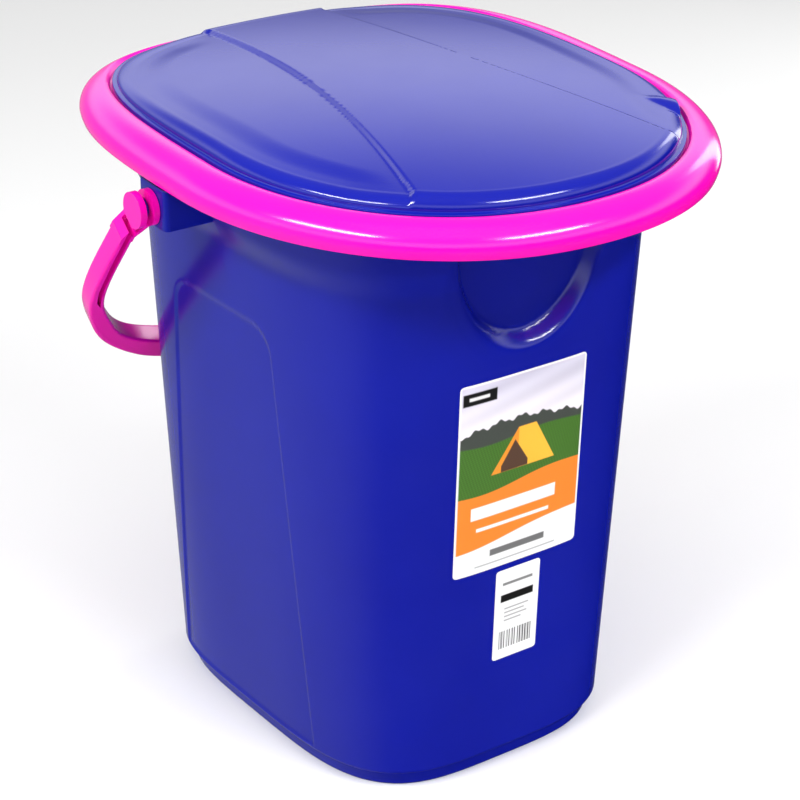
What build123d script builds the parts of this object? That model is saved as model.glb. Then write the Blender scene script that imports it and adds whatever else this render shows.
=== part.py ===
"""Portable camp toilet: bucket with bail, lift-off seat ring and lift-off lid.

Frame: millimetres, +Z up, floor at Z 0, origin at the middle of the base,
front (label face) towards -Y, bail ears on the -X and +X sides.
"""
import math
import os

from build123d import *

os.makedirs("parts", exist_ok=True)

# ---- bucket ----
FOOT_TOP = 11.5
FOOT_INSET = 4.5
WALL = 3.0
FLOOR_TOP = 3.2
FLARE_START = 318.0
FLARE_END = 338.0
FLARE_OUT = 5.5
RIM_TOP = 372.0
RIM_FLANGE = 4.0
RIM_FLANGE_THICK = 3.0
PANEL_DEPTH = 1.2
PANEL_TOP = 281.0
SCOOP_HALF_WIDTH = 51.0
SCOOP_BOTTOM = 272.0
SCOOP_CENTRE_Z = 342.0
SCOOP_DEPTH = 9.0
SCOOP_TOP = 347.0

# ---- bail ears and pivot ----
PIVOT_Y = 16.0
PIVOT_Z = 344.0
EAR_FACE_X = 153.2
EAR_WIDTH = 29.0
EAR_BOTTOM = 333.0
EAR_TOP = 357.0
EAR_WALL = 2.8
PIN_RADIUS = 4.0
PIN_HEAD_RADIUS = 5.4
PIN_HEAD_START = 157.5
PIN_END = 160.4
PIN_CLEARANCE = 0.06

# ---- bail ----
BAIL_REST_DEG = 38.0
BAIL_HALF_DEPTH = 6.25
LOBE_RADIUS = 10.2
BAIL_WEB = 2.6

# ---- seat ring ----
RING_BOTTOM = 362.0
DECK_TOP = 375.5
DECK_UNDER = 372.3
RING_SKIN = 2.6
HOLE_HALF_WIDTH = 96.0
HOLE_FRONT = 108.0
HOLE_BACK = 118.0
HOLE_SKIRT_BOTTOM = 353.0
LOCATING_RIB_BOTTOM = 360.0
LOCATING_GAP = 1.2

# ---- lid ----
LID_FLANGE_BOTTOM = 375.8
LID_FLANGE_TOP = 378.6
LID_SIDE_INSET = 2.6
LID_DOME_RADIUS = 1450.0
LID_DOME_TOP = 392.0
LID_DOME_Y = -8.0
LID_SKIN = 2.5
BAND_RISE = 2.2
LID_SKIRT_BOTTOM = 366.0
LID_SKIRT_GAP = 2.0
TAB_ANGLE = -52.5

# ---- labels ----
LABEL_THICK = 0.3


def egg(half_width, front, back, front_power, back_power, taper, centre_y=0.0, count=56):
    """Closed outline made of two superellipse halves, wider at the back by taper."""
    points = []
    for step in range(count):
        angle = 2.0 * math.pi * (step + 0.5) / count
        c = math.cos(angle)
        s = math.sin(angle)
        power = back_power if s > 0 else front_power
        depth = back if s > 0 else front
        u = math.copysign(abs(c) ** (2.0 / power), c)
        v = math.copysign(abs(s) ** (2.0 / power), s)
        points.append((u * half_width * (1.0 + taper * v), v * depth + centre_y))
    return points


def bucket_outline(z, inset=0.0):
    share = (z - 12.0) / 288.0
    half_width = 106.0 + 11.7 * share - inset
    front = 117.7 + 4.1 * share - inset
    back = 117.6 + 10.5 * share - inset
    return egg(half_width, front, back, 3.7, 4.1, 0.08)


def ring_outline(inset=0.0):
    return egg(158.6 - inset, 165.4 - inset, 192.9 - inset, 2.12, 3.26, 0.035, -20.15)


def lid_outline(inset=0.0):
    return egg(137.0 - inset, 142.6 - inset, 183.4 - inset, 2.13, 3.64, 0.02, -22.6)


def hole_outline(inset=0.0):
    return egg(HOLE_HALF_WIDTH - inset, HOLE_FRONT - inset, HOLE_BACK - inset, 2.3, 2.6, 0.0, -8.0)


def loft_stack(sections):
    """Loft through (height, outline) pairs, lowest first."""
    with BuildPart() as stack:
        for height, outline in sections:
            with BuildSketch(Plane.XY.offset(height)):
                with BuildLine():
                    Spline(*outline, periodic=True)
                make_face()
        loft()
    return stack.part


def slab(outline, bottom, top):
    with BuildPart() as plate:
        with BuildSketch(Plane.XY.offset(bottom)):
            with BuildLine():
                Spline(*outline, periodic=True)
            make_face()
        extrude(amount=top - bottom)
    return plate.part


# ---- bucket: tapered shell, foot, flared collar, rim, ears with pins ----
wall_outer = loft_stack([(FOOT_TOP, bucket_outline(FOOT_TOP)), (FLARE_START, bucket_outline(FLARE_START))])
wall_inner = loft_stack(
    [
        (FOOT_TOP + WALL, bucket_outline(FOOT_TOP + WALL, WALL)),
        (FLARE_START, bucket_outline(FLARE_START, WALL)),
    ]
)
foot_inner = slab(bucket_outline(12.0, WALL + FOOT_INSET), FLOOR_TOP, FOOT_TOP + WALL)
flare_outer = loft_stack(
    [
        (FLARE_START, bucket_outline(FLARE_START)),
        (FLARE_END, bucket_outline(FLARE_END, -FLARE_OUT)),
    ]
)
flare_inner = loft_stack(
    [
        (FLARE_START, bucket_outline(FLARE_START, WALL)),
        (FLARE_END, bucket_outline(FLARE_END, WALL - FLARE_OUT)),
    ]
)
collar_outer = slab(bucket_outline(FLARE_END, -FLARE_OUT), FLARE_END, RIM_TOP)
collar_inner = slab(bucket_outline(FLARE_END, WALL - FLARE_OUT), FLARE_END, RIM_TOP + 1.0)
rim_flange = slab(bucket_outline(FLARE_END, -FLARE_OUT - RIM_FLANGE), RIM_TOP - RIM_FLANGE_THICK, RIM_TOP)
foot_block = slab(bucket_outline(12.0, FOOT_INSET), 0.0, FOOT_TOP)

with BuildPart() as panel_skin:
    add(wall_outer)
    add(
        loft_stack(
            [
                (FOOT_TOP, bucket_outline(FOOT_TOP, PANEL_DEPTH)),
                (FLARE_START, bucket_outline(FLARE_START, PANEL_DEPTH)),
            ]
        ),
        mode=Mode.SUBTRACT,
    )
    with BuildSketch(Plane.YZ.offset(-200.0)) as panel_outline:
        with BuildLine():
            Polyline((-60.0, 13.0), (-37.0, PANEL_TOP), (56.0, PANEL_TOP), (80.0, 13.0), close=True)
        make_face()
        fillet(panel_outline.vertices().group_by(Axis.Y)[-1], radius=16.0)
    extrude(amount=400.0, mode=Mode.INTERSECT)

with BuildPart() as scoop_tool:
    with BuildSketch(Plane.XZ.offset(135.0)):
        with Locations((0.0, SCOOP_CENTRE_Z)):
            Ellipse(SCOOP_HALF_WIDTH + 5.0, SCOOP_CENTRE_Z - SCOOP_BOTTOM + 5.0)
    with BuildSketch(Plane.XZ.offset(121.5 - SCOOP_DEPTH)):
        with Locations((0.0, SCOOP_CENTRE_Z)):
            Ellipse(SCOOP_HALF_WIDTH - 9.0, SCOOP_CENTRE_Z - SCOOP_BOTTOM - 11.0)
    loft()
    with Locations((0.0, -125.0, SCOOP_TOP + 60.0)):
        Box(200.0, 80.0, 120.0, mode=Mode.SUBTRACT)

with BuildPart() as scoop_pad:
    with BuildSketch(Plane.XZ.offset(135.0)):
        with Locations((0.0, SCOOP_CENTRE_Z)):
            Ellipse(SCOOP_HALF_WIDTH + 9.0, SCOOP_CENTRE_Z - SCOOP_BOTTOM + 9.0)
    with BuildSketch(Plane.XZ.offset(121.5 - SCOOP_DEPTH - WALL)):
        with Locations((0.0, SCOOP_CENTRE_Z)):
            Ellipse(SCOOP_HALF_WIDTH - 6.0, SCOOP_CENTRE_Z - SCOOP_BOTTOM - 8.0)
    loft()
    with Locations((0.0, -125.0, SCOOP_TOP + WALL + 60.0)):
        Box(200.0, 80.0, 120.0, mode=Mode.SUBTRACT)

with BuildPart() as bucket:
    add(foot_block)
    add(wall_outer)
    add(flare_outer)
    add(collar_outer)
    add(rim_flange)
    add(panel_skin.part, mode=Mode.SUBTRACT)
    for side in (-1, 1):
        with BuildSketch(Plane.XY.offset(EAR_BOTTOM)) as ear_plan:
            with Locations((side * (EAR_FACE_X + 110.0) / 2.0, PIVOT_Y)):
                Rectangle(EAR_FACE_X - 110.0, EAR_WIDTH)
            fillet(ear_plan.vertices().group_by(Axis.X)[-1 if side > 0 else 0], radius=3.5)
        extrude(amount=EAR_TOP - EAR_BOTTOM)
        cavity_length = EAR_FACE_X - EAR_WALL - 124.0
        cavity_z = (EAR_BOTTOM + EAR_TOP) / 2.0 - EAR_WALL
        with Locations((side * (124.0 + cavity_length / 2.0), PIVOT_Y, cavity_z)):
            Box(cavity_length, EAR_WIDTH - 2.0 * EAR_WALL, EAR_TOP - EAR_BOTTOM, mode=Mode.SUBTRACT)
    add(foot_inner, mode=Mode.SUBTRACT)
    add(wall_inner, mode=Mode.SUBTRACT)
    add(flare_inner, mode=Mode.SUBTRACT)
    add(collar_inner, mode=Mode.SUBTRACT)
    add(scoop_pad.part.intersect(wall_outer.fuse(flare_outer, collar_outer)))
    add(scoop_tool.part, mode=Mode.SUBTRACT)
    for side in (-1, 1):
        with BuildSketch(Plane.YZ.offset(side * (EAR_FACE_X - EAR_WALL))):
            with Locations((PIVOT_Y, PIVOT_Z)):
                Circle(PIN_RADIUS)
        extrude(amount=side * (PIN_END - EAR_FACE_X + EAR_WALL))
        with BuildSketch(Plane.YZ.offset(side * PIN_HEAD_START)):
            with Locations((PIVOT_Y, PIVOT_Z)):
                Circle(PIN_HEAD_RADIUS)
        extrude(amount=side * (PIN_END - PIN_HEAD_START))
bucket.part.label = "bucket"
export_step(bucket.part, "parts/bucket.step")

# ---- seat ring: domed shell with a flat deck, hole skirt and locating rib ----
ring_shell = loft_stack(
    [
        (RING_BOTTOM, ring_outline(1.2)),
        (366.5, ring_outline(0.0)),
        (371.5, ring_outline(1.6)),
        (375.5, ring_outline(5.2)),
        (378.2, ring_outline(10.5)),
        (379.2, ring_outline(16.0)),
    ]
)
ring_hollow = loft_stack(
    [
        (RING_BOTTOM - 1.0, ring_outline(1.4 + RING_SKIN)),
        (366.5, ring_outline(RING_SKIN)),
        (370.0, ring_outline(1.8 + RING_SKIN)),
        (DECK_UNDER, ring_outline(5.0 + RING_SKIN)),
    ]
)
lid_pocket = loft_stack([(DECK_TOP, lid_outline(-1.0)), (380.5, lid_outline(-3.6))])
rib_inset = WALL - FLARE_OUT + LOCATING_GAP
with BuildPart() as locating_rib:
    add(slab(bucket_outline(FLARE_END, rib_inset), LOCATING_RIB_BOTTOM, DECK_UNDER + 1.0))
    add(
        slab(bucket_outline(FLARE_END, rib_inset + 2.4), LOCATING_RIB_BOTTOM - 1.0, DECK_TOP),
        mode=Mode.SUBTRACT,
    )
with BuildPart() as seat_ring:
    add(ring_shell)
    add(ring_hollow, mode=Mode.SUBTRACT)
    add(lid_pocket, mode=Mode.SUBTRACT)
    add(locating_rib.part)
    add(slab(hole_outline(-3.0), HOLE_SKIRT_BOTTOM, DECK_TOP))
    add(slab(hole_outline(), HOLE_SKIRT_BOTTOM - 1.0, DECK_TOP + 1.0), mode=Mode.SUBTRACT)
seat_ring.part.label = "seat_ring"
export_step(seat_ring.part, "parts/seat_ring.step")

# ---- lid: flange, steep side, domed top, raised band, finger tab, skirt ----
tab_way = (math.cos(math.radians(TAB_ANGLE)), math.sin(math.radians(TAB_ANGLE)), 0.0)
tab_apex = (102.0, -73.0, 383.0)
tab_mouth = (121.0, -98.0, 380.0)


def dome(extra):
    """Everything below the lid's domed top, grown by extra."""
    with BuildPart() as ball:
        with Locations((0.0, LID_DOME_Y, LID_DOME_TOP - LID_DOME_RADIUS)):
            Sphere(LID_DOME_RADIUS + extra, rotation=(90.0, 0.0, 0.0))
    return ball.part


def tab_cone(shrink):
    with BuildPart() as cone:
        with BuildSketch(Plane(origin=tab_apex, x_dir=(tab_way[1], -tab_way[0], 0.0), z_dir=tab_way)):
            Ellipse(4.5 - shrink, 3.2 - shrink)
        with BuildSketch(Plane(origin=tab_mouth, x_dir=(tab_way[1], -tab_way[0], 0.0), z_dir=tab_way)):
            Ellipse(23.0 - shrink, 8.4 - shrink)
        loft()
    return cone.part


band_half = [
    (39.0, 175.0),
    (40.3, 152.0),
    (43.8, 75.0),
    (52.3, 0.0),
    (63.0, -50.0),
    (71.5, -90.0),
    (83.0, -130.0),
    (95.0, -175.0),
]
with BuildPart() as band:
    with BuildSketch(Plane.XY.offset(LID_FLANGE_TOP)):
        with BuildLine():
            right = Spline(*band_half)
            left = Spline(*[(-x, y) for x, y in band_half])
            Line(right @ 0, left @ 0)
            Line(right @ 1, left @ 1)
        make_face()
    extrude(amount=25.0)
    add(slab(lid_outline(6.5), LID_FLANGE_TOP, 400.0), mode=Mode.INTERSECT)
    add(dome(BAND_RISE), mode=Mode.INTERSECT)

with BuildPart() as lid_side:
    add(slab(lid_outline(LID_SIDE_INSET), LID_FLANGE_BOTTOM, 400.0))
    add(dome(0.0), mode=Mode.INTERSECT)
    fillet(lid_side.edges().filter_by(lambda edge: edge.bounding_box().min.Z > LID_FLANGE_TOP), radius=4.0)

with BuildPart() as lid_core:
    add(slab(lid_outline(LID_SIDE_INSET + LID_SKIN), LID_FLANGE_BOTTOM - 1.0, 400.0))
    add(dome(-LID_SKIN - 0.5), mode=Mode.INTERSECT)

with BuildPart() as lid_skirt:
    add(slab(hole_outline(LID_SKIRT_GAP), LID_SKIRT_BOTTOM, 400.0))
    add(slab(hole_outline(LID_SKIRT_GAP + 2.4), LID_SKIRT_BOTTOM - 1.0, 401.0), mode=Mode.SUBTRACT)
    add(dome(-0.8), mode=Mode.INTERSECT)

with BuildPart() as lid:
    add(slab(lid_outline(), LID_FLANGE_BOTTOM, LID_FLANGE_TOP))
    add(lid_side.part)
    add(tab_cone(0.0).intersect(slab(lid_outline(), LID_FLANGE_BOTTOM, 400.0)))
    add(band.part)
    add(lid_core.part, mode=Mode.SUBTRACT)
    add(lid_skirt.part)
    add(tab_cone(2.2), mode=Mode.SUBTRACT)
lid.part.label = "lid"
export_step(lid.part, "parts/lid.step")

# ---- bail: arched bar, two channel arms, two pairs of pivot lobes ----
rest = math.radians(BAIL_REST_DEG)
pivot = (0.0, PIVOT_Y, PIVOT_Z)
hanging_up = (0.0, math.cos(rest), math.sin(rest))
bail_plane = Plane(origin=pivot, x_dir=(1.0, 0.0, 0.0), z_dir=hanging_up)
bail_side = Plane(origin=(-200.0, PIVOT_Y, PIVOT_Z), x_dir=hanging_up, z_dir=(1.0, 0.0, 0.0))
# Half profiles as (distance from the middle, distance below the pivot).
inner_half = [
    (160.5, 18.0),
    (161.0, 50.0),
    (160.6, 74.0),
    (158.2, 92.0),
    (152.5, 108.5),
    (145.0, 123.0),
    (135.0, 139.5),
    (125.7, 150.0),
    (116.3, 157.6),
    (105.5, 164.2),
    (93.0, 170.2),
    (75.0, 176.6),
    (50.0, 182.6),
    (25.0, 186.0),
]
outer_half = [
    (168.8, 18.0),
    (169.8, 50.0),
    (169.3, 78.0),
    (166.4, 98.0),
    (160.8, 115.0),
    (153.5, 131.0),
    (144.0, 146.4),
    (132.3, 160.2),
    (119.5, 172.6),
    (105.5, 183.6),
    (85.0, 194.0),
    (60.0, 201.0),
    (30.0, 205.0),
]
inner_line = inner_half + [(0.0, 187.0)] + [(-x, s) for x, s in reversed(inner_half)]
outer_line = outer_half + [(0.0, 206.2)] + [(-x, s) for x, s in reversed(outer_half)]
inner_lobe = [(153.6, -12.0), (157.1, -12.0), (157.1, 9.0), (162.9, 19.4)]
inner_lobe += [(162.9, 24.0), (160.6, 24.0), (160.5, 19.6), (153.6, 9.4)]
outer_lobe = [(161.2, -12.0), (165.0, -12.0), (165.0, 9.0), (168.8, 18.4)]
outer_lobe += [(168.9, 24.0), (166.2, 24.0), (166.2, 20.0), (161.2, 9.6)]
channel = [(162.9, 9.0), (163.2, 50.0), (163.0, 74.0), (161.6, 88.0), (159.4, 98.0)]
channel += [(163.6, 91.0), (166.0, 78.0), (166.6, 50.0), (166.2, 9.0)]

with BuildPart() as bail_lobes:
    with BuildSketch(bail_plane.offset(-LOBE_RADIUS)):
        for side in (-1, 1):
            for shape in (inner_lobe, outer_lobe):
                with BuildLine():
                    Polyline(*[(side * x, s) for x, s in shape], close=True)
                make_face()
    extrude(amount=2.0 * LOBE_RADIUS)
    with BuildSketch(bail_side):
        Circle(LOBE_RADIUS)
        with Locations((0.0, -15.0)):
            Rectangle(2.0 * BAIL_HALF_DEPTH, 30.0)
    extrude(amount=400.0, mode=Mode.INTERSECT)

with BuildPart() as bail:
    with BuildSketch(bail_plane.offset(-BAIL_HALF_DEPTH)):
        with BuildLine():
            inner_edge = Spline(*inner_line)
            outer_edge = Spline(*outer_line)
            Line(inner_edge @ 0, outer_edge @ 0)
            Line(inner_edge @ 1, outer_edge @ 1)
        make_face()
    extrude(amount=2.0 * BAIL_HALF_DEPTH)
    long_edges = bail.edges().filter_by(lambda edge: edge.length > 300.0)
    fillet(long_edges, radius=1.6)
    add(bail_lobes.part)
    with BuildSketch(bail_plane.offset(-LOBE_RADIUS - 1.0)):
        for side in (-1, 1):
            with BuildLine():
                Polyline(*[(side * x, s) for x, s in channel], close=True)
            make_face()
    extrude(amount=LOBE_RADIUS + 1.0 + BAIL_HALF_DEPTH - BAIL_WEB, mode=Mode.SUBTRACT)
    with BuildSketch(bail_side.offset(200.0 - PIN_HEAD_START)):
        Circle(PIN_RADIUS + PIN_CLEARANCE)
    extrude(amount=2.0 * PIN_HEAD_START, mode=Mode.SUBTRACT)
bail.part.label = "bail"
export_step(bail.part, "parts/bail.step")

# ---- paper labels, curved to the front wall ----
with BuildPart() as label_skin:
    add(
        loft_stack(
            [
                (FOOT_TOP, bucket_outline(FOOT_TOP, -LABEL_THICK)),
                (FLARE_START, bucket_outline(FLARE_START, -LABEL_THICK)),
            ]
        )
    )
    add(wall_outer, mode=Mode.SUBTRACT)


def wall_label(centre_x, centre_z, width, height, corner):
    with BuildPart() as paper:
        with BuildSketch(Plane.XZ.offset(150.0)):
            with Locations((centre_x, centre_z)):
                RectangleRounded(width, height, corner)
        extrude(amount=-100.0)
        add(label_skin.part, mode=Mode.INTERSECT)
    return paper.part


main_label = wall_label(-1.7, 202.4, 85.4, 121.6, 2.5)
main_label.label = "main_label"
export_step(main_label, "parts/main_label.step")
code_label = wall_label(0.7, 107.0, 31.0, 61.0, 2.0)
code_label.label = "code_label"
export_step(code_label, "parts/code_label.step")
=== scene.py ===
"""Looks of the portable camp toilet: dense meshes, materials, studio and camera.

Shapes are worked out in millimetres from the same driving dimensions as the CAD
and turned into metres when a mesh is made. +Z is up and the labels face -Y.
"""

import math

import bpy
import numpy as np
from mathutils import Matrix, Vector


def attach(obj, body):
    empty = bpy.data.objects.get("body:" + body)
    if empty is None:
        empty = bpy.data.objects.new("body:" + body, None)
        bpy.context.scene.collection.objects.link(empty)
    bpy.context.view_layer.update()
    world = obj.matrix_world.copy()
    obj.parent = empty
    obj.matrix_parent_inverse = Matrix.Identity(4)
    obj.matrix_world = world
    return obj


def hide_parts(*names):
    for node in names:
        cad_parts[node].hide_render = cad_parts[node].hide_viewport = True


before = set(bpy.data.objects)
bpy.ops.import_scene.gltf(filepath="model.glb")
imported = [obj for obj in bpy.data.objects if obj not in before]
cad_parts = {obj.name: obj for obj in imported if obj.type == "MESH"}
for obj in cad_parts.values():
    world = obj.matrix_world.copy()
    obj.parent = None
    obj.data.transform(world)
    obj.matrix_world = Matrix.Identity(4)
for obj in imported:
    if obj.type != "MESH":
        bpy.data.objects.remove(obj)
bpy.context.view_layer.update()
MM = 0.001

# ---- driving dimensions, millimetres ----
WALL = 3.0
FLARE_START = 318.0
FLARE_END = 338.0
FLARE_OUT = 5.5
PANEL_DEPTH = 1.2
PANEL_FOOT = 13.0
PANEL_TOP = 281.0
PANEL_FRONT_Y = -60.0
PANEL_BACK_Y = 80.0
PANEL_CORNER = 16.0
SCOOP_CENTRE_Z = 342.0
SCOOP_TOP = 347.0
SCOOP_FLOOR_Y = -112.5
RING_CENTRE_Y = -20.15
LID_CENTRE_Y = -22.6
HOLE_CENTRE_Y = -8.0
DOME_RADIUS = 1450.0
DOME_TOP = 392.0
DOME_Y = -8.0
BAND_RISE = 2.2
LID_SIDE_INSET = 2.6
TAB_APEX = np.array([102.0, -73.0])
TAB_MOUTH = np.array([121.0, -98.0])
TAB_REACH = np.linalg.norm(TAB_MOUTH - TAB_APEX)
TAB_WAY = (TAB_MOUTH - TAB_APEX) / TAB_REACH
TAB_ACROSS = np.array([-TAB_WAY[1], TAB_WAY[0]])
BAND_LINE = [
    (39.0, 175.0),
    (43.8, 75.0),
    (52.3, 0.0),
    (63.0, -50.0),
    (71.5, -90.0),
    (83.0, -130.0),
    (95.0, -175.0),
]
DECK_TOP = 375.5
DECK_UNDER = 372.3
EAR_FACE_X = 153.2
EAR_ROOT_X = 118.0
EAR_FRONT_Y = 1.5
EAR_BACK_Y = 30.5
PIVOT_Y = 16.0
PIVOT_Z = 344.0
MAIN_LABEL_WIDTH = 85.4
MAIN_LABEL_HEIGHT = 121.6


# ---- outlines ----
def egg(half_width, front, back, front_power, back_power, taper, centre_y=0.0, count=6000):
    """Closed outline with separate front and back roundness, as an array of points."""
    angle = 2.0 * np.pi * (np.arange(count) + 0.5) / count
    c, s = np.cos(angle), np.sin(angle)
    power = np.where(s > 0, back_power, front_power)
    depth = np.where(s > 0, back, front)
    u = np.sign(c) * np.abs(c) ** (2.0 / power)
    v = np.sign(s) * np.abs(s) ** (2.0 / power)
    return np.stack([u * half_width * (1.0 + taper * v), v * depth + centre_y], axis=1)


def bucket_reach(z):
    """Half width, front depth and back depth of the bucket's outside at a height."""
    share = (z - 12.0) / 288.0
    return 106.0 + 11.7 * share, 117.7 + 4.1 * share, 117.6 + 10.5 * share


def bucket_outline(z, inset=0.0):
    half_width, front, back = bucket_reach(z)
    return egg(half_width - inset, front - inset, back - inset, 3.7, 4.1, 0.08)


def ring_outline(inset=0.0):
    return egg(158.6 - inset, 165.4 - inset, 192.9 - inset, 2.12, 3.26, 0.035, RING_CENTRE_Y)


def lid_outline(inset=0.0):
    return egg(137.0 - inset, 142.6 - inset, 183.4 - inset, 2.13, 3.64, 0.02, LID_CENTRE_Y)


def hole_outline(inset=0.0):
    return egg(96.0 - inset, 108.0 - inset, 118.0 - inset, 2.3, 2.6, 0.0, HOLE_CENTRE_Y)


def rays(outline, bearings, centre_y):
    """Where rays from (0, centre_y) at these bearings cross the outline."""
    x, y = outline[:, 0], outline[:, 1] - centre_y
    angle = np.arctan2(y, x)
    order = np.argsort(angle)
    reach = np.interp(bearings, angle[order], np.hypot(x, y)[order], period=2.0 * np.pi)
    return np.stack([reach * np.cos(bearings), reach * np.sin(bearings) + centre_y], axis=1)


def even_bearings(outline, centre_y, count):
    """Bearings that divide the outline into equal lengths."""
    loop = np.vstack([outline, outline[:1]])
    run = np.concatenate([[0.0], np.cumsum(np.hypot(*np.diff(loop, axis=0).T))])
    at = run[-1] * np.arange(count) / count
    x, y = np.interp(at, run, loop[:, 0]), np.interp(at, run, loop[:, 1])
    return np.arctan2(y - centre_y, x)


def ramp(value, low, high):
    """Smooth step from 0 at low to 1 at high."""
    t = np.clip((value - low) / (high - low), 0.0, 1.0)
    return t * t * (3.0 - 2.0 * t)


# ---- mesh making ----
def grid_piece(name, rows, wrap_rows=False, cap_first=False, cap_last=False, smooth_angle=40.0):
    """A closed piece from rows of points, all the same length, each row a closed loop."""
    count = len(rows[0])
    points = np.concatenate(rows) * MM
    faces = []
    pairs = [(r, r + 1) for r in range(len(rows) - 1)]
    if wrap_rows:
        pairs.append((len(rows) - 1, 0))
    for low, high in pairs:
        for k in range(count):
            n = (k + 1) % count
            faces.append((low * count + k, low * count + n, high * count + n, high * count + k))
    if cap_first:
        points = np.vstack([points, rows[0].mean(axis=0) * MM])
        hub = len(points) - 1
        faces += [(hub, (k + 1) % count, k) for k in range(count)]
    if cap_last:
        points = np.vstack([points, rows[-1].mean(axis=0) * MM])
        hub, start = len(points) - 1, (len(rows) - 1) * count
        faces += [(hub, start + k, start + (k + 1) % count) for k in range(count)]
    mesh = bpy.data.meshes.new(name)
    mesh.from_pydata(points.tolist(), [], faces)
    mesh.validate()
    piece = bpy.data.objects.new(name, mesh)
    bpy.context.scene.collection.objects.link(piece)
    mesh.shade_smooth()
    mesh.set_sharp_from_angle(angle=math.radians(smooth_angle))
    return piece


def lifted(outline_points, z):
    return np.column_stack([outline_points, np.full(len(outline_points), z) if np.isscalar(z) else z])


# ---- materials ----
def new_material(name):
    material = bpy.data.materials.new(name)
    material.use_nodes = True
    tree = material.node_tree
    return material, tree, tree.nodes["Principled BSDF"]


def moulded_plastic(name, deep, bright, roughness, peel):
    """Glossy moulded plastic: slight colour drift, uneven gloss and faint orange peel."""
    material, tree, shader = new_material(name)
    place = tree.nodes.new("ShaderNodeTexCoord")
    drift = tree.nodes.new("ShaderNodeTexNoise")
    drift.inputs["Scale"].default_value = 7.0
    drift.inputs["Detail"].default_value = 3.0
    tint = tree.nodes.new("ShaderNodeValToRGB")
    tint.color_ramp.elements[0].position = 0.3
    tint.color_ramp.elements[0].color = (*deep, 1.0)
    tint.color_ramp.elements[1].position = 0.7
    tint.color_ramp.elements[1].color = (*bright, 1.0)
    flow = tree.nodes.new("ShaderNodeTexNoise")
    flow.inputs["Scale"].default_value = 34.0
    flow.inputs["Detail"].default_value = 4.0
    gloss = tree.nodes.new("ShaderNodeMapRange")
    gloss.inputs["To Min"].default_value = roughness - 0.035
    gloss.inputs["To Max"].default_value = roughness + 0.05
    grain = tree.nodes.new("ShaderNodeTexNoise")
    grain.inputs["Scale"].default_value = 620.0
    grain.inputs["Detail"].default_value = 2.0
    bump = tree.nodes.new("ShaderNodeBump")
    bump.inputs["Strength"].default_value = peel
    bump.inputs["Distance"].default_value = 0.0004
    link = tree.links.new
    for noise in (drift, flow, grain):
        link(place.outputs["Object"], noise.inputs["Vector"])
    link(drift.outputs["Fac"], tint.inputs["Fac"])
    link(tint.outputs["Color"], shader.inputs["Base Color"])
    link(flow.outputs["Fac"], gloss.inputs["Value"])
    link(gloss.outputs["Result"], shader.inputs["Roughness"])
    link(grain.outputs["Fac"], bump.inputs["Height"])
    link(bump.outputs["Normal"], shader.inputs["Normal"])
    shader.inputs["IOR"].default_value = 1.5
    return material


BLUE_DEEP, BLUE_BRIGHT = (0.003, 0.007, 0.27), (0.004, 0.010, 0.31)
PINK_DEEP, PINK_BRIGHT = (0.90, 0.002, 0.40), (0.97, 0.003, 0.45)
body_plastic = moulded_plastic("body_plastic", BLUE_DEEP, BLUE_BRIGHT, 0.17, 0.03)
lid_plastic = moulded_plastic("lid_plastic", BLUE_DEEP, BLUE_BRIGHT, 0.14, 0.025)
pink_plastic = moulded_plastic("pink_plastic", PINK_DEEP, PINK_BRIGHT, 0.15, 0.025)


def give(piece, material, body, node=None):
    """Material, finish slot and body for a piece, and the CAD node it stands for."""
    piece.data.materials.clear()
    piece.data.materials.append(material)
    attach(piece, body)
    if node:
        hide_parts(node)


# ---- lid ----
def dome_z(points, sink=0.0):
    across = points[:, 0] ** 2 + (points[:, 1] - DOME_Y) ** 2
    return DOME_TOP - sink - (DOME_RADIUS - np.sqrt(DOME_RADIUS**2 - across))


band_curve = np.polyfit([y for _, y in BAND_LINE], [x for x, _ in BAND_LINE], 4)


def lid_top(points, edge_distance):
    """Height of the lid's top: dome, raised band, softly sunk wings and finger tab."""
    x, y = points[:, 0], points[:, 1]
    beyond = np.abs(x) - np.polyval(band_curve, y)
    z = dome_z(points, 0.1) + BAND_RISE * (1.0 - ramp(beyond, -0.9, 1.3))
    z -= 0.8 * ramp(beyond, 4.0, 30.0) * ramp(edge_distance, 30.0, 14.0)
    along = (points - TAB_APEX) @ TAB_WAY
    side = (points - TAB_APEX) @ TAB_ACROSS
    share = np.clip(along / TAB_REACH, -0.3, 1.3)
    half_width = np.maximum(4.5 + 13.0 * share, 0.1)
    crest = 384.4 + 3.6 * share
    round_over = np.sqrt(np.clip(1.0 - (side / half_width) ** 2, 0.0, 1.0))
    tab = 376.0 + (crest - 376.0) * round_over * ramp(along, -9.0, 3.0)
    return 0.5 * (z + tab + np.sqrt((z - tab) ** 2 + 0.4))


def tab_share(points):
    """1 in the open mouth of the finger tab, 0 away from it."""
    side = (points - TAB_MOUTH) @ TAB_ACROSS
    ahead = (points - TAB_APEX) @ TAB_WAY
    return (1.0 - ramp(np.abs(side), 10.0, 13.0)) * (ahead > 0)


LID_ROUND = 8.5
LID_SIDE_FOOT = 379.3
lid_bearings = even_bearings(lid_outline(), LID_CENTRE_Y, 720)


def lid_ring(inset):
    return rays(lid_outline(inset), lid_bearings, LID_CENTRE_Y)


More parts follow.
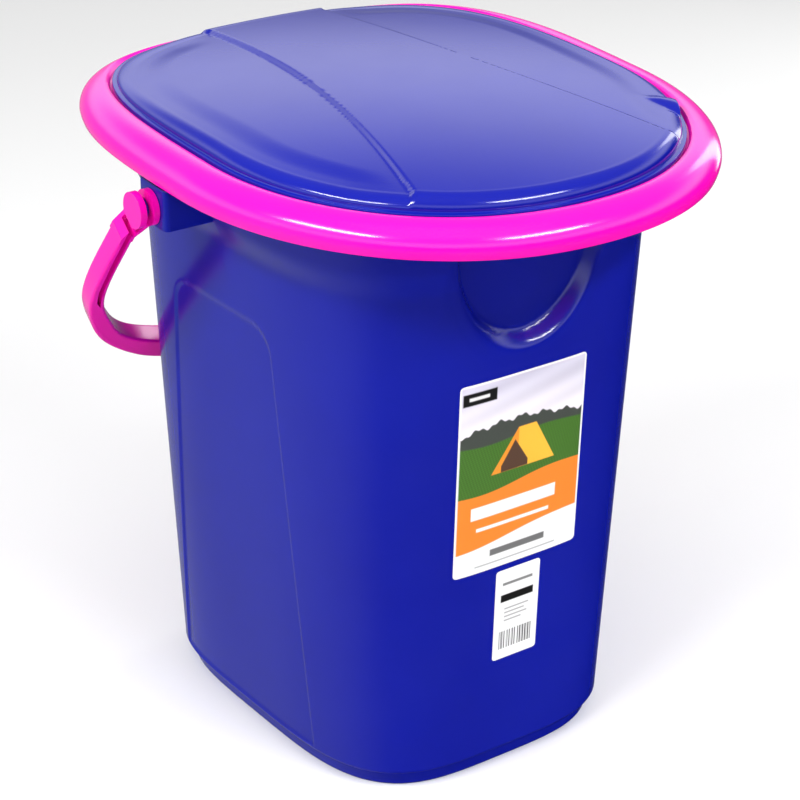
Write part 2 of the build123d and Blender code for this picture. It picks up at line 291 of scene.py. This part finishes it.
crown = lid_ring(LID_SIDE_INSET + LID_ROUND)
lid_centre = np.array([0.0, LID_CENTRE_Y])
crown_reach = np.linalg.norm(crown - lid_centre, axis=1)
rows = []
for share in np.linspace(0.01, 1.0, 120):
    place = lid_centre + (crown - lid_centre) * share
    rows.append(lifted(place, lid_top(place, LID_ROUND + crown_reach * (1.0 - share))))
side_top = rows[-1][:, 2]
mouth = tab_share(lid_ring(LID_SIDE_INSET))
for turn in np.linspace(0.0, np.pi / 2.0, 15)[1:]:
    place = lid_ring(LID_SIDE_INSET + LID_ROUND * (1.0 - math.sin(turn)))
    rounded = LID_SIDE_FOOT + (side_top - LID_SIDE_FOOT) * math.cos(turn)
    lip = lid_top(place, np.full(len(place), 0.0)) - 1.2 * turn
    rows.append(lifted(place, rounded * (1.0 - mouth) + lip * mouth))
for depth, height in ((1.8, 0.75), (9.0, 0.7), (12.0, 0.35), (7.0, 0.06)):
    shift = depth * mouth[:, None]
    outward = lid_ring(LID_SIDE_INSET) - lid_centre
    outward /= np.linalg.norm(outward, axis=1)[:, None]
    place = lid_ring(LID_SIDE_INSET) - outward * shift
    mouth_z = 378.8 + (rows[-1][:, 2] - 378.8) * height if height < 0.7 else rows[-1][:, 2] - 1.0
    rows.append(lifted(place, LID_SIDE_FOOT * (1.0 - mouth) - 0.05 * height + mouth_z * mouth))
flange_profile = [
    (2.3, 378.75),
    (1.6, 378.6),
    (0.6, 378.6),
    (0.15, 378.4),
    (0.0, 378.0),
    (0.0, 376.3),
    (0.4, 375.8),
    (5.1, 375.8),
]
for inset, z in flange_profile:
    rows.append(lifted(lid_ring(inset), z))
under = lid_ring(5.6)
rows.append(lifted(under, dome_z(under, 4.2)))
skirt_profile = [
    (2.0, None),
    (2.0, 366.3),
    (2.3, 366.0),
    (4.1, 366.0),
    (4.4, 366.3),
    (4.4, None),
    (40.0, None),
]
for inset, z in skirt_profile:
    place = rays(hole_outline(inset), lid_bearings, LID_CENTRE_Y)
    rows.append(lifted(place, dome_z(place, 3.2) if z is None else z))
lid_piece = grid_piece("lid_shell", rows, cap_first=True, cap_last=True, smooth_angle=35.0)
give(lid_piece, lid_plastic, "lid_body", "lid")

# ---- seat ring ----
ring_bearings = even_bearings(ring_outline(), RING_CENTRE_Y, 720)


def around_ring(outline):
    return rays(outline, ring_bearings, RING_CENTRE_Y)


def ring_dome(inset):
    return 366.5 + 12.7 * np.sqrt(1.0 - (1.0 - np.clip(inset, 0.0, 16.0) / 16.0) ** 2)


outer_edge = around_ring(ring_outline())
pocket = around_ring(lid_outline(-3.4))
gap = np.linalg.norm(outer_edge - pocket, axis=1)
rows = [lifted(around_ring(hole_outline(0.0)), 374.8), lifted(around_ring(hole_outline(-0.7)), DECK_TOP)]
rows.append(lifted(around_ring(lid_outline(-0.6)), DECK_TOP))
rows.append(lifted(around_ring(lid_outline(-1.2)), 375.8))
rows.append(lifted(around_ring(lid_outline(-2.4)), ring_dome(gap) - 0.7))
rows.append(lifted(pocket + (outer_edge - pocket) * 0.01, ring_dome(gap) - 0.1))
for share in 1.0 - (1.0 - np.linspace(0.06, 1.0, 30)) ** 1.6:
    place = pocket + (outer_edge - pocket) * share
    rows.append(lifted(place, ring_dome(gap * (1.0 - share))))
for inset, z in ((0.35, 364.6), (0.8, 363.0), (1.0, 362.4), (1.5, 362.0), (3.4, 362.0), (3.9, 362.4)):
    rows.append(lifted(around_ring(ring_outline(inset)), z))
for inset, z in ((2.8, 366.5), (4.6, 370.0), (7.6, DECK_UNDER)):
    rows.append(lifted(around_ring(ring_outline(inset)), z))
rib_profile = [
    (-1.3, DECK_UNDER),
    (-1.3, 360.3),
    (-1.0, 360.0),
    (0.8, 360.0),
    (1.1, 360.3),
    (1.1, DECK_UNDER),
]
for inset, z in rib_profile:
    rows.append(lifted(around_ring(bucket_outline(FLARE_END, inset)), z))
for inset, z in ((-3.0, DECK_UNDER), (-3.0, 353.4), (-2.6, 353.0), (-0.4, 353.0), (0.0, 353.4)):
    rows.append(lifted(around_ring(hole_outline(inset)), z))
seat_piece = grid_piece("seat_shell", rows, wrap_rows=True, smooth_angle=38.0)
give(seat_piece, pink_plastic, "seat_body", "seat_ring")

# ---- bucket ----
bucket_bearings = even_bearings(bucket_outline(200.0), 0.0, 900)


def around_bucket(z, inset):
    return rays(bucket_outline(min(z, FLARE_END), inset), bucket_bearings, 0.0)


def panel_dent(y, z):
    """Depth of the side panel's recess at a height and a place along the side."""
    height = PANEL_TOP - PANEL_FOOT
    front_side = (PANEL_FRONT_Y + (z - PANEL_FOOT) * 23.0 / height) - y
    back_side = y - (PANEL_BACK_Y - (z - PANEL_FOOT) * 24.0 / height)
    top_side = z - PANEL_TOP
    along = np.maximum(front_side, back_side)
    past_along = np.maximum(along + PANEL_CORNER, 0.0)
    past_top = np.maximum(top_side + PANEL_CORNER, 0.0)
    corner = np.hypot(past_along, past_top) - PANEL_CORNER
    in_corner = (along > -PANEL_CORNER) & (top_side > -PANEL_CORNER)
    outside = np.where(in_corner, corner, np.maximum(along, top_side))
    return PANEL_DEPTH * ramp(-outside, 0.0, 1.6)


def scoop_dent(x, y, z):
    """How far the front hand scoop sets the wall back."""
    spread = np.hypot(x / 56.0, (z - SCOOP_CENTRE_Z) / 75.0)
    inner = 0.765
    floor_y = -135.0 + (SCOOP_FLOOR_Y + 135.0) * np.clip((1.0 - spread) / (1.0 - inner), -1.0, 1.0)
    depth = floor_y - y
    softness = 1.0 + 30.0 * ramp(-x, -15.0, 35.0)
    rounded = 0.5 * (depth + np.sqrt(depth**2 + softness)) * ramp(-spread, -1.05, -0.97)
    near = (y < 0.0) & (spread < 1.05)
    return np.where(near, rounded, 0.0) * (1.0 - ramp(z, SCOOP_TOP - 1.0, SCOOP_TOP + 2.0))


def bucket_row(z, inset, dented, panelled=True):
    place = around_bucket(z, inset)
    if dented:
        heights = np.full(len(place), z)
        if panelled:
            recess = panel_dent(place[:, 1], heights) * (np.abs(place[:, 0]) > 70.0)
            place[:, 0] -= np.sign(place[:, 0]) * recess
        wall = around_bucket(z, inset if panelled else inset - WALL)
        place[:, 1] += scoop_dent(wall[:, 0], wall[:, 1], heights)
    return lifted(place, z)


def flare_inset(z):
    return -FLARE_OUT * ramp(z, FLARE_START, FLARE_END)


rows = []
foot_profile = [
    (6.5, 0.0),
    (5.2, 0.2),
    (4.6, 0.9),
    (4.5, 1.8),
    (4.5, 10.2),
    (4.2, 11.1),
    (3.4, 11.5),
    (1.0, 11.5),
    (0.3, 11.8),
    (0.0, 12.5),
]
for inset, z in foot_profile:
    rows.append(lifted(around_bucket(z, inset), z))
for z in np.arange(14.0, 368.1, 2.0):
    rows.append(bucket_row(z, flare_inset(z), True))
rim_profile = [
    (-6.0, 368.8),
    (-9.0, 369.0),
    (-9.5, 369.5),
    (-9.5, 371.5),
    (-9.0, 372.0),
    (-3.0, 372.0),
    (-2.5, 371.5),
]
for inset, z in rim_profile:
    rows.append(lifted(around_bucket(z, inset), z))
for z in np.arange(366.0, 14.9, -3.0):
    rows.append(bucket_row(z, WALL + flare_inset(z), True, panelled=False))
for inset, z in ((3.2, 14.6), (7.3, 14.3), (7.5, 13.6), (7.5, 4.6), (8.9, 3.2)):
    rows.append(lifted(around_bucket(z, inset), z))
bucket_piece = grid_piece("bucket_shell", rows, cap_first=True, cap_last=True, smooth_angle=50.0)
give(bucket_piece, body_plastic, "bucket_body", "bucket")


def ear_plan(grow, side):
    """Loop round one ear at one height, with rounded outer corners."""
    corner = 3.5 + grow
    turns = np.linspace(0.0, np.pi / 2.0, 9)
    x_far = EAR_FACE_X + grow
    y_low = EAR_FRONT_Y - grow
    y_high = EAR_BACK_Y + grow
    front = [(x_far - corner + corner * math.sin(t), y_low + corner - corner * math.cos(t)) for t in turns]
    rear = [(x_far - corner + corner * math.cos(t), y_high - corner + corner * math.sin(t)) for t in turns]
    loop = np.array([(EAR_ROOT_X, y_low)] + front + rear + [(EAR_ROOT_X, y_high)])
    return loop * np.array([1.0, 1.0]) if side > 0 else loop[::-1] * np.array([-1.0, 1.0])


for side, word in ((-1, "left"), (1, "right")):
    rows = []
    ear_profile = [
        (-1.2, 333.0),
        (-0.3, 333.3),
        (0.0, 334.2),
        (0.0, 352.2),
        (0.0, 352.6),
        (0.0, 356.2),
        (-0.4, 356.9),
        (-1.2, 357.0),
    ]
    for grow, z in ear_profile:
        rows.append(lifted(ear_plan(grow, side), z))
    ear = grid_piece("ear_" + word, rows, cap_first=True, cap_last=True, smooth_angle=40.0)
    give(ear, body_plastic, "bucket_body")
    rows = []
    for radius, x in ((4.0, 150.5), (4.0, 157.5), (5.0, 157.5), (5.4, 157.9), (5.4, 159.6), (4.8, 160.4)):
        turns = np.linspace(0.0, 2.0 * np.pi, 40, endpoint=False) * side
        y = PIVOT_Y + radius * np.cos(turns)
        z = PIVOT_Z + radius * np.sin(turns)
        rows.append(np.column_stack([np.full(40, side * x), y, z]))
    pin = grid_piece("pin_" + word, rows, cap_first=True, cap_last=True)
    give(pin, body_plastic, "bucket_body")

# ---- bail: the CAD shape as it is, in pink plastic ----
bail_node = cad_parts["bail"]
bail_node.data.materials.clear()
bail_node.data.materials.append(pink_plastic)


# ---- labels: generic printing on curved paper ----
def wall_y(x, z):
    """Y of the front wall's outside at a place on it."""
    half_width, front, _ = bucket_reach(z)
    v = -np.ones_like(x)
    for _ in range(6):
        v = -((1.0 - np.clip(np.abs(x) / (half_width * (1.0 + 0.08 * v)), 0.0, 1.0) ** 3.7) ** (1.0 / 3.7))
    return v * front


def label_piece(name, centre_x, centre_z, width, height, corner, paint, columns, lines):
    u, w = np.meshgrid(np.linspace(0.0, 1.0, columns), np.linspace(0.0, 1.0, lines))
    down = w * height
    from_end = np.minimum(down, height - down)
    trim = corner - np.sqrt(np.maximum(corner**2 - np.maximum(corner - from_end, 0.0) ** 2, 0.0))
    x = centre_x + (u - 0.5) * (width - 2.0 * trim)
    z = centre_z + height / 2.0 - down
    face = np.stack([x, wall_y(x, z) - 0.28, z], axis=-1).reshape(-1, 3)
    rear = face + np.array([0.0, 0.22, 0.0])
    size = columns * lines
    faces = []
    for j in range(lines - 1):
        for i in range(columns - 1):
            k = j * columns + i
            faces.append((k, k + columns, k + columns + 1, k + 1))
            faces.append((size + k, size + k + 1, size + k + columns + 1, size + k + columns))
    rim = list(range(columns)) + [j * columns + columns - 1 for j in range(1, lines)]
    rim += [size - 1 - i for i in range(1, columns)] + [j * columns for j in range(lines - 2, 0, -1)]
    for k, here in enumerate(rim):
        there = rim[(k + 1) % len(rim)]
        faces.append((here, there, size + there, size + here))
    mesh = bpy.data.meshes.new(name)
    mesh.from_pydata((np.concatenate([face, rear]) * MM).tolist(), [], faces)
    mesh.validate()
    colour = paint((x - centre_x + width / 2.0).ravel(), down.ravel())
    both = np.ones((2 * size, 4))
    both[:size, :3] = colour
    both[size:, :3] = 0.8
    printing = mesh.color_attributes.new(name="print", type="FLOAT_COLOR", domain="POINT")
    printing.data.foreach_set("color", both.ravel())
    piece = bpy.data.objects.new(name, mesh)
    scene.collection.objects.link(piece)
    mesh.shade_smooth()
    mesh.set_sharp_from_angle(angle=math.radians(40.0))
    return piece


def lay(colour, shade, cover):
    return colour * (1.0 - cover[:, None]) + np.array(shade)[None, :] * cover[:, None]


def bar(a, b, left, top, wide, tall, soft=0.35):
    """Cover of a plain bar, 1 inside."""
    off = np.maximum(np.abs(a - left - wide / 2.0) - wide / 2.0, np.abs(b - top - tall / 2.0) - tall / 2.0)
    return 1.0 - ramp(off, -soft, soft)


def paint_main(a, b):
    """A plain hillside with a ridge tent, over a coloured band with bars in place of words."""
    paper = np.full((len(a), 3), 0.84)
    sky_share = ramp(b, 2.0, 34.0)[:, None]
    art = np.array([0.60, 0.58, 0.70]) * (1.0 - sky_share) + np.array([0.84, 0.80, 0.86]) * sky_share
    art += 0.05 * np.sin(a * 0.09 + b * 0.45)[:, None]
    ridge = 31.0 - 4.0 * np.sin(a * 0.045) + 1.1 * np.sin(a * 0.41) + 0.6 * np.sin(a * 1.1)
    art = lay(art, (0.06, 0.07, 0.06), ramp(b, ridge, ridge + 0.8))
    meadow = 38.0 + 1.5 * np.sin(a * 0.08)
    art = lay(art, (0.06, 0.17, 0.02), ramp(b, meadow, meadow + 1.2))
    grass = (np.sin(a * 2.3 + b * 1.7) * np.sin(a * 1.1 - b * 2.9))[:, None]
    art *= 1.0 + 0.22 * grass * ramp(b, meadow, meadow + 1.0)[:, None]
    slope_left, slope_right = (a - 22.0) / 18.0, (66.0 - a) / 14.0
    tent_top = 60.0 - 26.0 * np.clip(np.minimum(slope_left, slope_right), 0.0, 1.0)
    tent = ramp(b, tent_top, tent_top + 0.7) * (1.0 - ramp(b, 59.5, 60.3)) * (a > 22.0) * (a < 66.0)
    art = lay(art, (0.86, 0.28, 0.01), tent)
    art = lay(art, (0.95, 0.48, 0.03), tent * ramp(a, 40.0, 40.6))
    from_door = np.abs(a - 38.0)
    door = ramp(b, 41.0 + 1.6 * from_door, 41.8 + 1.6 * from_door) * tent * (from_door < 9.0)
    art = lay(art, (0.10, 0.05, 0.03), door)
    paper = paper * (1.0 - (b < 72.0)[:, None]) + art * (b < 72.0)[:, None]
    wave_top = 70.0 - 5.0 * (a / 85.0) + 1.6 * np.sin(a * 0.075)
    wave_foot = 105.0 - 8.0 * (a / 85.0) + 1.4 * np.sin(a * 0.06 + 1.0)
    wave = ramp(b, wave_top, wave_top + 0.7) * (1.0 - ramp(b, wave_foot, wave_foot + 0.7))
    paper = lay(paper, (0.93, 0.22, 0.01), wave)
    for left, top, wide, tall in ((10.0, 78.0, 58.0, 8.0), (14.0, 92.0, 50.0, 2.2)):
        paper = lay(paper, (0.88, 0.86, 0.84), bar(a, b, left, top, wide, tall))
    for left, top, wide, tall, shade in ((24.0, 108.5, 38.0, 4.2, 0.16), (14.0, 117.0, 56.0, 0.8, 0.35)):
        paper = lay(paper, (shade,) * 3, bar(a, b, left, top, wide, tall))
    paper = lay(paper, (0.01, 0.01, 0.01), bar(a, b, 2.0, 5.0, 22.0, 7.5))
    paper = lay(paper, (0.75, 0.75, 0.75), bar(a, b, 6.0, 7.7, 13.0, 2.0))
    side_edge = np.minimum(a, MAIN_LABEL_WIDTH - a)
    end_edge = np.minimum(b, MAIN_LABEL_HEIGHT - b)
    edge = np.minimum(side_edge, end_edge)
    return lay(paper, (0.84, 0.84, 0.84), 1.0 - ramp(edge, 0.9, 1.5))


def paint_code(a, b):
    """Bars in place of words and numbers, and a row of plain stripes."""
    paper = np.full((len(a), 3), 0.84)
    for left, top, wide, tall, shade in (
        (5.0, 9.0, 21.0, 1.8, 0.20),
        (4.0, 17.0, 23.0, 5.0, 0.01),
        (7.0, 26.5, 17.0, 0.9, 0.35),
        (7.0, 29.2, 14.0, 0.9, 0.35),
        (7.0, 31.9, 16.0, 0.9, 0.35),
        (7.0, 34.6, 12.0, 0.9, 0.35),
    ):
        paper = lay(paper, (shade,) * 3, bar(a, b, left, top, wide, tall, 0.25))
    stripes = (np.sin(a * 5.1) + np.sin(a * 3.3 + 1.0) + 0.6 * np.sin(a * 8.7 + 2.0)) > 0.2
    inside = (a > 4.0) & (a < 27.0) & (b > 42.0) & (b < 54.0)
    return lay(paper, (0.02, 0.02, 0.02), (stripes & inside).astype(float))


paper_finish, paper_tree, paper_shader = new_material("printed_paper")
printed = paper_tree.nodes.new("ShaderNodeAttribute")
printed.attribute_name = "print"
fibre = paper_tree.nodes.new("ShaderNodeTexNoise")
fibre.inputs["Scale"].default_value = 900.0
fibre_place = paper_tree.nodes.new("ShaderNodeTexCoord")
fibre_bump = paper_tree.nodes.new("ShaderNodeBump")
fibre_bump.inputs["Strength"].default_value = 0.04
fibre_bump.inputs["Distance"].default_value = 0.0002
paper_tree.links.new(fibre_place.outputs["Object"], fibre.inputs["Vector"])
paper_tree.links.new(fibre.outputs["Fac"], fibre_bump.inputs["Height"])
paper_tree.links.new(fibre_bump.outputs["Normal"], paper_shader.inputs["Normal"])
paper_tree.links.new(printed.outputs["Color"], paper_shader.inputs["Base Color"])
paper_shader.inputs["Roughness"].default_value = 0.38

scene = bpy.context.scene
for node, spot, paint, columns, lines in (
    ("main_label", (-1.7, 202.4, MAIN_LABEL_WIDTH, MAIN_LABEL_HEIGHT, 2.5), paint_main, 230, 320),
    ("code_label", (0.7, 107.0, 31.0, 61.0, 2.0), paint_code, 150, 200),
):
    sticker = label_piece(node + "_print", *spot, paint, columns, lines)
    give(sticker, paper_finish, "bucket_body", node)

# ---- studio ----
scene.view_settings.view_transform = "Standard"
world = bpy.data.worlds.new("studio")
scene.world = world
world.use_nodes = True
sky = world.node_tree


def sky_node(kind, **values):
    node = sky.nodes.new(kind)
    for key, value in values.items():
        setattr(node, key, value)
    return node


aim = sky_node("ShaderNodeTexCoord")
split = sky_node("ShaderNodeSeparateXYZ")
sky.links.new(aim.outputs["Generated"], split.inputs["Vector"])
toward = sky_node("ShaderNodeVectorMath", operation="DOT_PRODUCT")
toward.inputs[1].default_value = (-0.56, 0.83, 0.0)
sky.links.new(aim.outputs["Generated"], toward.inputs[0])
low_glow = sky_node("ShaderNodeMapRange", interpolation_type="SMOOTHSTEP")
for key, value in {"From Min": -0.35, "From Max": 0.75, "To Min": 0.0, "To Max": 0.42}.items():
    low_glow.inputs[key].default_value = value
sky.links.new(toward.outputs["Value"], low_glow.inputs["Value"])
rise = sky_node("ShaderNodeMapRange", interpolation_type="SMOOTHSTEP")
for key, value in {"From Min": 0.08, "From Max": 0.32}.items():
    rise.inputs[key].default_value = value
sky.links.new(split.outputs["Z"], rise.inputs["Value"])
overhead = sky_node("ShaderNodeMapRange", interpolation_type="SMOOTHSTEP")
for key, value in {"From Min": 0.36, "From Max": 0.60, "To Min": 1.55, "To Max": 0.30}.items():
    overhead.inputs[key].default_value = value
sky.links.new(split.outputs["Z"], overhead.inputs["Value"])
blend = sky_node("ShaderNodeMix")
sky.links.new(rise.outputs["Result"], blend.inputs["Factor"])
sky.links.new(low_glow.outputs["Result"], blend.inputs["A"])
sky.links.new(overhead.outputs["Result"], blend.inputs["B"])
sky.links.new(blend.outputs["Result"], sky.nodes["Background"].inputs["Strength"])
sky.nodes["Background"].inputs["Color"].default_value = (1.0, 1.0, 1.0, 1.0)

floor_mesh = bpy.data.meshes.new("floor")
reach = 8.0
corners = [(-reach, -reach, 0.0), (reach, -reach, 0.0), (reach, reach, 0.0), (-reach, reach, 0.0)]
floor_mesh.from_pydata(corners, [], [(0, 1, 2, 3)])
floor = bpy.data.objects.new("floor", floor_mesh)
scene.collection.objects.link(floor)
floor_material, _, floor_shader = new_material("pale_floor")
floor_shader.inputs["Base Color"].default_value = (0.92, 0.92, 0.92, 1.0)
floor_shader.inputs["Roughness"].default_value = 0.6
floor_mesh.materials.append(floor_material)
floor.visible_glossy = False


def softbox(name, toward_light, distance, width, height, watts):
    """A rectangular light in that direction from the lid, aimed at it."""
    lid_middle = Vector((0.0, -0.02, 0.38))
    light = bpy.data.lights.new(name, "AREA")
    light.shape = "RECTANGLE"
    light.size, light.size_y, light.energy = width, height, watts
    lamp = bpy.data.objects.new(name, light)
    lamp.location = lid_middle + Vector(toward_light).normalized() * distance
    lamp.rotation_mode = "QUATERNION"
    lamp.rotation_quaternion = (lid_middle - lamp.location).to_track_quat("-Z", "Y")
    scene.collection.objects.link(lamp)
    return lamp


softbox("left_box", (-0.723, -0.105, 0.682), 1.6, 0.85, 0.15, 19.0)
softbox("front_box", (0.197, -0.716, 0.670), 1.6, 0.85, 0.15, 16.0)
softbox("rim_box", (0.93, 0.30, 0.12), 1.5, 0.25, 1.1, 3.5)
top_fill = softbox("top_fill", (-0.1, -0.25, 0.96), 1.6, 1.4, 1.4, 10.0)
top_fill.visible_glossy = False

# ---- camera ----
AZIMUTH = math.radians(-34.65)
ELEVATION = math.radians(27.57)
ROLL = math.radians(1.02)
DISTANCE = 1.3205
AIM_POINT = Vector((0.0, -0.0029, 0.19519))
flat = math.cos(ELEVATION)
back = Vector((math.sin(AZIMUTH) * flat, -math.cos(AZIMUTH) * flat, math.sin(ELEVATION)))
level = Vector((math.cos(AZIMUTH), math.sin(AZIMUTH), 0.0))
upward = back.cross(level)
camera_x = level * math.cos(ROLL) + upward * math.sin(ROLL)
camera_y = upward * math.cos(ROLL) - level * math.sin(ROLL)
camera_data = bpy.data.cameras.new("camera")
camera = bpy.data.objects.new("camera", camera_data)
scene.collection.objects.link(camera)
turn = Matrix((camera_x, camera_y, back)).transposed().to_4x4()
camera.matrix_world = Matrix.Translation(AIM_POINT + back * DISTANCE) @ turn
camera_data.sensor_width = 36.0
camera_data.lens = 99.86
camera_data.shift_x = -0.0047
camera_data.shift_y = -0.0061
scene.camera = camera
